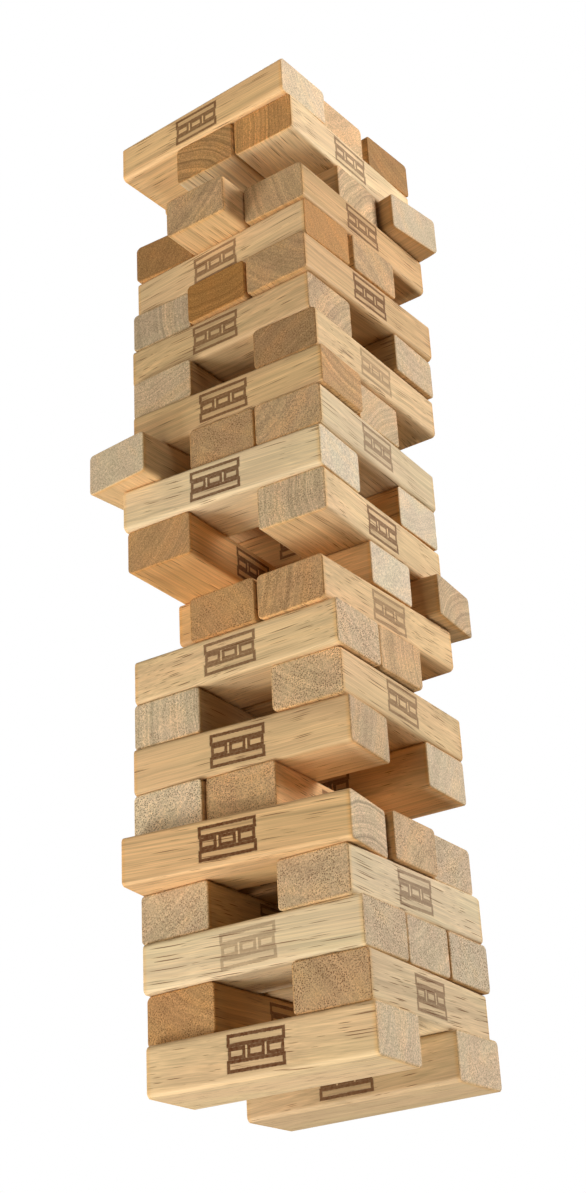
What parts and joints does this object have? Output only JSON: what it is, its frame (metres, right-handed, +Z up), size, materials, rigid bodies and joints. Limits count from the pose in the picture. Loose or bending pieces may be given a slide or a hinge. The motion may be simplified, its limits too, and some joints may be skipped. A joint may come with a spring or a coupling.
{
  "type": "giant tumbling tower",
  "caption": "Tall garden game tower of plain wooden blocks laid crosswise in layers, part way through play, with some blocks taken out and others pulled or turned.",
  "frame": {"origin": "centre of the tower's footprint, on the ground under the bottom layer", "axes": "+Z up; +X along the blocks of the odd layers, +Y along the blocks of the even layers; the front of the tower faces -Y and its right side +X"},
  "size_m": [0.2383, 0.251, 0.874],
  "materials": {
    "pale_wood": "sanded, lightly waxed",
    "honey_wood": "sanded, lightly waxed",
    "tan_wood": "sanded, lightly waxed",
    "brown_wood": "sanded, lightly waxed"
  },
  "bodies": {
    "bottom_layer": {"layer_01_front": "honey_wood", "layer_01_rear": "tan_wood"},
    "layer_02_left": {"layer_02_left": "honey_wood"},
    "layer_02_right": {"layer_02_right": "tan_wood"},
    "layer_03_front": {"layer_03_front": "honey_wood"},
    "layer_03_middle": {"layer_03_middle": "tan_wood"},
    "layer_03_rear": {"layer_03_rear": "pale_wood"},
    "layer_04_left": {"layer_04_left": "honey_wood"},
    "layer_04_right": {"layer_04_right": "tan_wood"},
    "layer_05_front": {"layer_05_front": "honey_wood"},
    "layer_05_middle": {"layer_05_middle": "tan_wood"},
    "layer_05_rear": {"layer_05_rear": "honey_wood"},
    "layer_06_left": {"layer_06_left": "honey_wood"},
    "layer_06_middle": {"layer_06_middle": "tan_wood"},
    "layer_07_front": {"layer_07_front": "honey_wood"},
    "layer_07_rear": {"layer_07_rear": "tan_wood"},
    "layer_08_left": {"layer_08_left": "honey_wood"},
    "layer_08_right": {"layer_08_right": "tan_wood"},
    "layer_09_front": {"layer_09_front": "honey_wood"},
    "layer_09_middle": {"layer_09_middle": "tan_wood"},
    "layer_10_middle": {"layer_10_middle": "honey_wood"},
    "layer_10_right": {"layer_10_right": "tan_wood"},
    "layer_11_middle": {"layer_11_middle": "pale_wood"},
    "layer_11_rear": {"layer_11_rear": "tan_wood"},
    "layer_12_left": {"layer_12_left": "tan_wood"},
    "layer_12_right": {"layer_12_right": "brown_wood"},
    "layer_13_front": {"layer_13_front": "pale_wood"},
    "layer_13_rear": {"layer_13_rear": "tan_wood"},
    "layer_14_left": {"layer_14_left": "honey_wood"},
    "layer_14_middle": {"layer_14_middle": "tan_wood"},
    "layer_14_right": {"layer_14_right": "tan_wood"},
    "layer_15_front": {"layer_15_front": "honey_wood"},
    "layer_15_middle": {"layer_15_middle": "tan_wood"},
    "layer_16_left": {"layer_16_left": "honey_wood"},
    "layer_16_right": {"layer_16_right": "tan_wood"},
    "layer_17_front": {"layer_17_front": "honey_wood"},
    "layer_17_rear": {"layer_17_rear": "tan_wood"},
    "layer_18_left": {"layer_18_left": "honey_wood"},
    "layer_18_middle": {"layer_18_middle": "brown_wood"},
    "layer_18_right": {"layer_18_right": "tan_wood"},
    "layer_19_front": {"layer_19_front": "honey_wood"},
    "layer_19_middle": {"layer_19_middle": "tan_wood"},
    "layer_20_left": {"layer_20_left": "brown_wood"},
    "layer_20_middle": {"layer_20_middle": "honey_wood"},
    "layer_20_right": {"layer_20_right": "tan_wood"},
    "layer_21_middle": {"layer_21_middle": "tan_wood"},
    "layer_21_rear": {"layer_21_rear": "honey_wood"},
    "layer_22_middle": {"layer_22_middle": "honey_wood"},
    "layer_22_right": {"layer_22_right": "tan_wood"},
    "layer_23_front": {"layer_23_front": "honey_wood"},
    "layer_23_middle": {"layer_23_middle": "tan_wood"},
    "layer_23_rear": {"layer_23_rear": "honey_wood"}
  },
  "joints": [
    {"name": "layer_02_left_slide", "type": "slide", "parent": "bottom_layer", "child": "layer_02_left", "axis": [0.0349, 0.9994, 0], "range_m": [-0.06, 0.06]},
    {"name": "layer_02_right_slide", "type": "slide", "parent": "bottom_layer", "child": "layer_02_right", "axis": [-0.0698, 0.9976, 0], "range_m": [-0.06, 0.06]},
    {"name": "layer_03_front_slide", "type": "slide", "parent": "bottom_layer", "child": "layer_03_front", "axis": [0.9994, 0.0349, 0], "range_m": [-0.19, 0.19]},
    {"name": "layer_03_middle_slide", "type": "slide", "parent": "bottom_layer", "child": "layer_03_middle", "axis": [0.9994, 0.0349, 0], "range_m": [-0.19, 0.19]},
    {"name": "layer_03_rear_slide", "type": "slide", "parent": "bottom_layer", "child": "layer_03_rear", "axis": [0.9994, 0.0349, 0], "range_m": [-0.19, 0.19]},
    {"name": "layer_04_left_slide", "type": "slide", "parent": "bottom_layer", "child": "layer_04_left", "axis": [0, 1, 0], "range_m": [-0.06, 0.06]},
    {"name": "layer_04_right_slide", "type": "slide", "parent": "bottom_layer", "child": "layer_04_right", "axis": [0, 1, 0], "range_m": [-0.06, 0.06]},
    {"name": "layer_05_front_slide", "type": "slide", "parent": "bottom_layer", "child": "layer_05_front", "axis": [0.9903, 0.1392, 0], "range_m": [-0.19, 0.19]},
    {"name": "layer_05_middle_slide", "type": "slide", "parent": "bottom_layer", "child": "layer_05_middle", "axis": [0.9998, 0.0175, 0], "range_m": [-0.19, 0]},
    {"name": "layer_05_rear_slide", "type": "slide", "parent": "bottom_layer", "child": "layer_05_rear", "axis": [0.9998, 0.0175, 0], "range_m": [-0.19, 0.19]},
    {"name": "layer_06_left_slide", "type": "slide", "parent": "bottom_layer", "child": "layer_06_left", "axis": [-0.0349, 0.9994, 0], "range_m": [-0.19, 0.19]},
    {"name": "layer_06_middle_slide", "type": "slide", "parent": "bottom_layer", "child": "layer_06_middle", "axis": [-0.0349, 0.9994, 0], "range_m": [-0.06, 0.06]},
    {"name": "layer_07_front_slide", "type": "slide", "parent": "bottom_layer", "child": "layer_07_front", "axis": [0.9962, 0.0872, 0], "range_m": [-0.06, 0.06]},
    {"name": "layer_07_rear_slide", "type": "slide", "parent": "bottom_layer", "child": "layer_07_rear", "axis": [0.9994, 0.0349, 0], "range_m": [-0.06, 0.06]},
    {"name": "layer_08_left_slide", "type": "slide", "parent": "bottom_layer", "child": "layer_08_left", "axis": [-0.0175, 0.9998, 0], "range_m": [-0.06, 0.06]},
    {"name": "layer_08_right_slide", "type": "slide", "parent": "bottom_layer", "child": "layer_08_right", "axis": [-0.0349, 0.9994, 0], "range_m": [-0.06, 0.06]},
    {"name": "layer_09_front_slide", "type": "slide", "parent": "bottom_layer", "child": "layer_09_front", "axis": [0.9998, 0.0175, 0], "range_m": [-0.19, 0.19]},
    {"name": "layer_09_middle_slide", "type": "slide", "parent": "bottom_layer", "child": "layer_09_middle", "axis": [1, 0, 0], "range_m": [-0.06, 0.03]},
    {"name": "layer_10_middle_slide", "type": "slide", "parent": "bottom_layer", "child": "layer_10_middle", "axis": [0.0175, 0.9998, 0], "range_m": [-0.06, 0.06]},
    {"name": "layer_10_right_slide", "type": "slide", "parent": "bottom_layer", "child": "layer_10_right", "axis": [0.0175, 0.9998, 0], "range_m": [-0.19, 0.19]},
    {"name": "layer_11_middle_slide", "type": "slide", "parent": "bottom_layer", "child": "layer_11_middle", "axis": [0.9998, 0.0175, 0], "range_m": [-0.06, 0.06]},
    {"name": "layer_11_rear_slide", "type": "slide", "parent": "bottom_layer", "child": "layer_11_rear", "axis": [0.9962, 0.0872, 0], "range_m": [-0.19, 0.19]},
    {"name": "layer_12_left_slide", "type": "slide", "parent": "bottom_layer", "child": "layer_12_left", "axis": [-0.0175, 0.9998, 0], "range_m": [-0.06, 0.06]},
    {"name": "layer_12_right_slide", "type": "slide", "parent": "bottom_layer", "child": "layer_12_right", "axis": [-0.0349, 0.9994, 0], "range_m": [-0.06, 0.06]},
    {"name": "layer_13_front_slide", "type": "slide", "parent": "bottom_layer", "child": "layer_13_front", "axis": [0.9986, 0.0523, 0], "range_m": [-0.06, 0.06]},
    {"name": "layer_13_rear_slide", "type": "slide", "parent": "bottom_layer", "child": "layer_13_rear", "axis": [0.9998, 0.0175, 0], "range_m": [-0.06, 0.06]},
    {"name": "layer_14_left_slide", "type": "slide", "parent": "bottom_layer", "child": "layer_14_left", "axis": [0.1045, 0.9945, 0], "range_m": [-0.19, 0.015]},
    {"name": "layer_14_middle_slide", "type": "slide", "parent": "bottom_layer", "child": "layer_14_middle", "axis": [-0.0349, 0.9994, 0], "range_m": [-0.19, 0.19]},
    {"name": "layer_14_right_slide", "type": "slide", "parent": "bottom_layer", "child": "layer_14_right", "axis": [-0.0349, 0.9994, 0], "range_m": [-0.19, 0.19]},
    {"name": "layer_15_front_slide", "type": "slide", "parent": "bottom_layer", "child": "layer_15_front", "axis": [0.9998, 0.0175, 0], "range_m": [-0.19, 0.19]},
    {"name": "layer_15_middle_slide", "type": "slide", "parent": "bottom_layer", "child": "layer_15_middle", "axis": [1, 0, 0], "range_m": [-0.06, 0.06]},
    {"name": "layer_16_left_slide", "type": "slide", "parent": "bottom_layer", "child": "layer_16_left", "axis": [0.0349, 0.9994, 0], "range_m": [-0.06, 0.06]},
    {"name": "layer_16_right_slide", "type": "slide", "parent": "bottom_layer", "child": "layer_16_right", "axis": [0, 1, 0], "range_m": [-0.06, 0.06]},
    {"name": "layer_17_front_slide", "type": "slide", "parent": "bottom_layer", "child": "layer_17_front", "axis": [0.9994, -0.0349, 0], "range_m": [-0.06, 0.06]},
    {"name": "layer_17_rear_slide", "type": "slide", "parent": "bottom_layer", "child": "layer_17_rear", "axis": [1, 0, 0], "range_m": [-0.06, 0.06]},
    {"name": "layer_18_left_slide", "type": "slide", "parent": "bottom_layer", "child": "layer_18_left", "axis": [0, 1, 0], "range_m": [-0.19, 0.19]},
    {"name": "layer_18_middle_slide", "type": "slide", "parent": "bottom_layer", "child": "layer_18_middle", "axis": [0.0523, 0.9986, 0], "range_m": [-0.02, 0.19]},
    {"name": "layer_18_right_slide", "type": "slide", "parent": "bottom_layer", "child": "layer_18_right", "axis": [0.0523, 0.9986, 0], "range_m": [-0.19, 0.19]},
    {"name": "layer_19_front_slide", "type": "slide", "parent": "bottom_layer", "child": "layer_19_front", "axis": [0.9976, -0.0698, 0], "range_m": [-0.19, 0.19]},
    {"name": "layer_19_middle_slide", "type": "slide", "parent": "bottom_layer", "child": "layer_19_middle", "axis": [0.9986, -0.0523, 0], "range_m": [-0.06, 0.06]},
    {"name": "layer_20_left_slide", "type": "slide", "parent": "bottom_layer", "child": "layer_20_left", "axis": [-0.0175, 0.9998, 0], "range_m": [-0.013, 0.19]},
    {"name": "layer_20_middle_slide", "type": "slide", "parent": "bottom_layer", "child": "layer_20_middle", "axis": [0.0349, 0.9994, 0], "range_m": [-0.19, 0.19]},
    {"name": "layer_20_right_slide", "type": "slide", "parent": "bottom_layer", "child": "layer_20_right", "axis": [0.0349, 0.9994, 0], "range_m": [-0.19, 0.19]},
    {"name": "layer_21_middle_slide", "type": "slide", "parent": "bottom_layer", "child": "layer_21_middle", "axis": [0.9998, -0.0175, 0], "range_m": [-0.06, 0.025]},
    {"name": "layer_21_rear_slide", "type": "slide", "parent": "bottom_layer", "child": "layer_21_rear", "axis": [0.9877, -0.1564, 0], "range_m": [-0.19, 0.19]},
    {"name": "layer_22_middle_slide", "type": "slide", "parent": "bottom_layer", "child": "layer_22_middle", "axis": [0.0349, 0.9994, 0], "range_m": [-0.06, 0.06]},
    {"name": "layer_22_right_slide", "type": "slide", "parent": "bottom_layer", "child": "layer_22_right", "axis": [0.0349, 0.9994, 0], "range_m": [-0.19, 0.19]},
    {"name": "layer_23_front_lift_off", "type": "slide", "parent": "bottom_layer", "child": "layer_23_front", "axis": [0, 0, 1], "range_m": [0, 0.15]},
    {"name": "layer_23_middle_lift_off", "type": "slide", "parent": "bottom_layer", "child": "layer_23_middle", "axis": [0, 0, 1], "range_m": [0, 0.15]},
    {"name": "layer_23_rear_lift_off", "type": "slide", "parent": "bottom_layer", "child": "layer_23_rear", "axis": [0, 0, 1], "range_m": [0, 0.15]}
  ]
}
